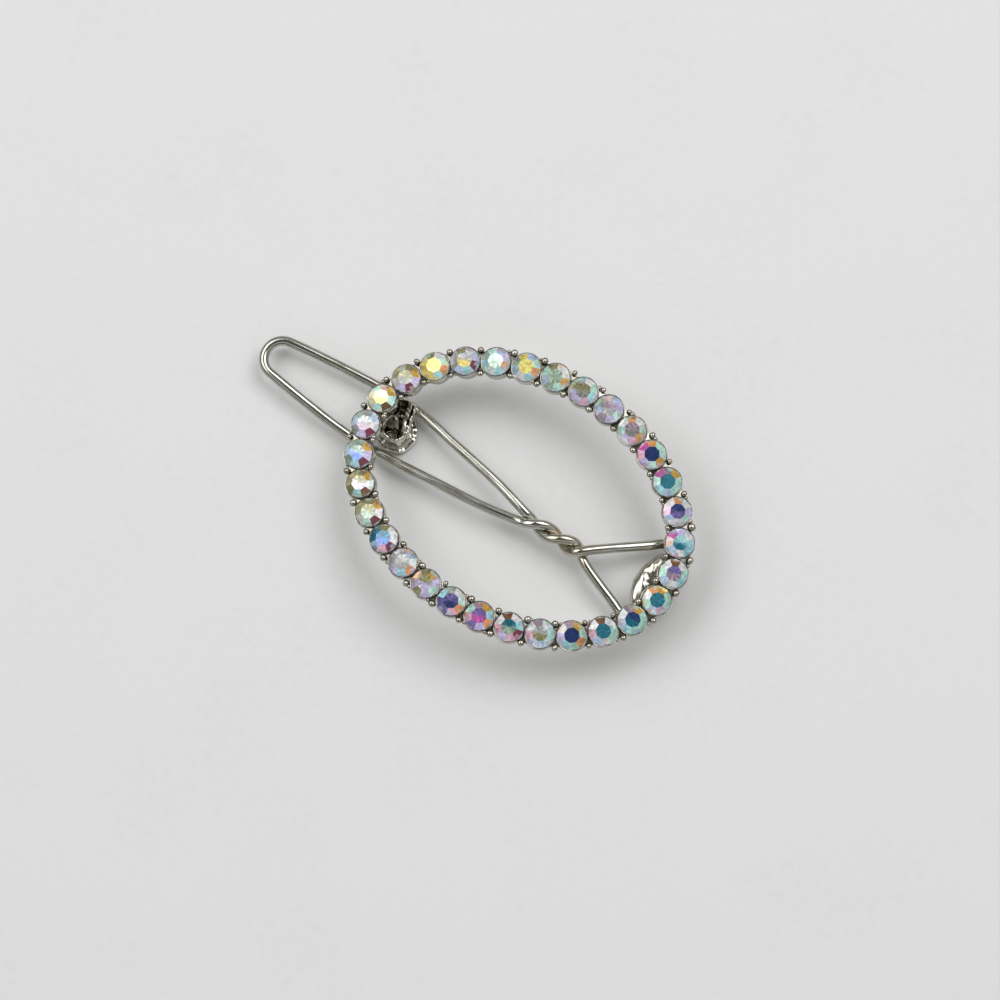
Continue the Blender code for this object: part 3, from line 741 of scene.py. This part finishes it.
def plated_wire():
    """Bright plated steel: drawing lines along the wire, and a warm tinge in patches over the twist."""
    made, tree, shader = shader_of("plated wire")
    place = node(tree, "ShaderNodeTexCoord").outputs["Object"]
    along = node(tree, "ShaderNodeUVMap", uv_map="along").outputs["UV"]
    fine = node(tree, "ShaderNodeMapping", {"Vector": along, "Scale": (350.0, 60.0, 1.0)})
    lines = node(tree, "ShaderNodeTexNoise", {"Vector": fine.outputs["Vector"], "Scale": 1.0, "Detail": 4.0})
    spots = node(tree, "ShaderNodeTexNoise", {"Vector": place, "Scale": 700.0, "Detail": 3.0})
    spot_x = node(tree, "ShaderNodeSeparateXYZ", {"Vector": place}).outputs["X"]
    into_twist = {"From Min": TWIST_START, "From Max": TWIST_START + 3 * MM}
    past_twist = {
        "From Min": TWIST_END + 2 * MM, "From Max": TWIST_END + 4 * MM, "To Min": 1.0, "To Max": 0.0,
    }
    grows = node(tree, "ShaderNodeMapRange", {"Value": spot_x, **into_twist}).outputs["Result"]
    fades = node(tree, "ShaderNodeMapRange", {"Value": spot_x, **past_twist}).outputs["Result"]
    at_twist = node(tree, "ShaderNodeMath", {0: grows, 1: fades}, operation="MULTIPLY").outputs["Value"]
    patch = node(tree, "ShaderNodeMath", {0: at_twist, 1: spots.outputs["Fac"]}, operation="MULTIPLY")
    warm = ramp(tree, patch.outputs["Value"], ((0.34, (0.62, 0.62, 0.56)), (0.70, (0.58, 0.50, 0.38))))
    worn = ramp(tree, lines.outputs["Fac"], ((0.38, (0.40, 0.39, 0.34)), (0.54, (1, 1, 1))))
    tree.links.new(stained(tree, warm, worn), shader.inputs["Base Color"])
    shine = node(tree, "ShaderNodeMapRange", {"Value": lines.outputs["Fac"], "To Min": 0.06, "To Max": 0.22})
    tree.links.new(shine.outputs["Result"], shader.inputs["Roughness"])
    bump_of = {"Height": lines.outputs["Fac"], "Strength": 0.15, "Distance": 0.01 * MM}
    bump = node(tree, "ShaderNodeBump", bump_of)
    tree.links.new(bump.outputs["Normal"], shader.inputs["Normal"])
    shader.inputs["Metallic"].default_value = 1.0
    return made


over, under = strand(-np.pi / 2), strand(np.pi / 2)
out_run = [arm(1, 1)[::-1], over[::-1], leg(-1), tip()[::-1]]
back_run = [leg(1)[::-1], under, arm(-1, -1)]
path, run = eased(np.concatenate(out_run + back_run), WIRE_STEP)
# Two passes of a short running mean take out the last of the knots.
for _ in range(2):
    path[1:-1] = (path[:-2] + 2 * path[1:-1] + path[2:]) / 4
bar = round_bar(path, WIRE_R, WIRE_SIDES)
faces = grid_faces(len(bar), WIRE_SIDES)
# The drawing lines' map: metres along the wire, and the share of the way round it. A face on the
# seam takes the far end of the way round, so the lines don't fold back there.
run = np.concatenate([run[:1], run, run[-1:]])
across = np.arange(WIRE_SIDES + 1) / WIRE_SIDES
row = faces // WIRE_SIDES
column = faces % WIRE_SIDES
on_seam = (column == 0) & (column.max(axis=1, keepdims=True) == WIRE_SIDES - 1)
column = np.where(on_seam, WIRE_SIDES, column)
uv = np.stack([run[row], across[column]], -1)
wire = cast("clasp_wire", bar, faces, plated_wire(), body="clasp", crease=60, uv=uv)
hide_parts("spring_wire")


# ---- Table, lamps and camera -----------------------------------------------------------------
# The clip lies on pale card between two soft boxes, with a darker room overhead.

card, tree, shader = shader_of("pale card")
place = node(tree, "ShaderNodeTexCoord").outputs["Object"]
grain = node(tree, "ShaderNodeTexNoise", {"Vector": place, "Scale": 900.0, "Detail": 5.0})
mottle = node(tree, "ShaderNodeTexNoise", {"Vector": place, "Scale": 60.0, "Detail": 3.0})
both = node(tree, "ShaderNodeMath", {0: grain.outputs["Fac"], 1: mottle.outputs["Fac"]}, operation="ADD")
paper = ramp(tree, both.outputs["Value"], ((0.6, (0.79, 0.79, 0.79)), (1.0, (0.82, 0.82, 0.82))))
tree.links.new(paper, shader.inputs["Base Color"])
bump = node(tree, "ShaderNodeBump", {"Height": grain.outputs["Fac"], "Strength": 0.2, "Distance": 0.05 * MM})
tree.links.new(bump.outputs["Normal"], shader.inputs["Normal"])
shader.inputs["Roughness"].default_value = 0.85
shader.inputs["Specular IOR Level"].default_value = 0.2
CARD_HALF = 8
corners = [(CARD_HALF * x, CARD_HALF * y, 0) for x, y in ((-1, -1), (1, -1), (1, 1), (-1, 1))]
mesh = bpy.data.meshes.new("card")
mesh.from_pydata(corners, [], [(0, 1, 2, 3)])
mesh.materials.append(card)
floor = bpy.data.objects.new("card", mesh)
bpy.context.scene.collection.objects.link(floor)

middle = Vector((MIDDLE_X, 0, GIRDLE_Z))
LAMP_DISTANCE = 0.90
LAMP_WIDTH = 0.66


def soft_box(name, azimuth, elevation, height, power):
    """A rectangular lamp at a bearing from the bench's right, facing the clip."""
    a, e = BENCH + math.radians(azimuth), math.radians(elevation)
    data = bpy.data.lights.new(name, "AREA")
    data.shape = "RECTANGLE"
    data.size, data.size_y = LAMP_WIDTH, height
    data.energy = power
    lamp = bpy.data.objects.new(name, data)
    bpy.context.scene.collection.objects.link(lamp)
    away = Vector((math.cos(a) * math.cos(e), math.sin(a) * math.cos(e), math.sin(e)))
    lamp.location = middle + LAMP_DISTANCE * away
    lamp.rotation_euler = away.to_track_quat("Z", "Y").to_euler()


soft_box("right soft box", 42, 56, 0.56, 3.6)
soft_box("left soft box", 150, 54, 0.52, 2.85)

world = bpy.data.worlds.new("room")
bpy.context.scene.world = world
world.use_nodes = True
tree = world.node_tree
back = tree.nodes["Background"]
way = node(tree, "ShaderNodeTexCoord").outputs["Generated"]
split = node(tree, "ShaderNodeSeparateXYZ", {"Vector": way})
# By height: dim low down, a band of light wall, and a dark ceiling.
walls = (
    (0.0, (0.10, 0.10, 0.10)), (0.34, (0.14, 0.14, 0.14)), (0.46, (0.58, 0.58, 0.58)),
    (0.72, (0.58, 0.58, 0.58)), (0.84, (0.12, 0.12, 0.115)),
)
tree.links.new(ramp(tree, split.outputs["Z"], walls), back.inputs["Color"])
back.inputs["Strength"].default_value = 1.0

lens = bpy.data.cameras.new("camera")
lens.lens = 116.67
lens.sensor_width = 36.0
lens.clip_start = 0.02
camera = bpy.data.objects.new("camera", lens)
bpy.context.scene.collection.objects.link(camera)
SIDE_TILT, TILT = math.radians(3.5), math.radians(10.5)
tilted = Matrix.Rotation(SIDE_TILT, 4, "Y") @ Matrix.Rotation(TILT, 4, "X")
turn = Matrix.Rotation(BENCH, 4, "Z") @ tilted
back_off = Matrix.Translation((-1.903 * MM, -0.413 * MM, 350 * MM))
camera.matrix_world = Matrix.Translation(middle) @ turn @ back_off
bpy.context.scene.camera = camera
bpy.context.scene.view_settings.view_transform = "Standard"
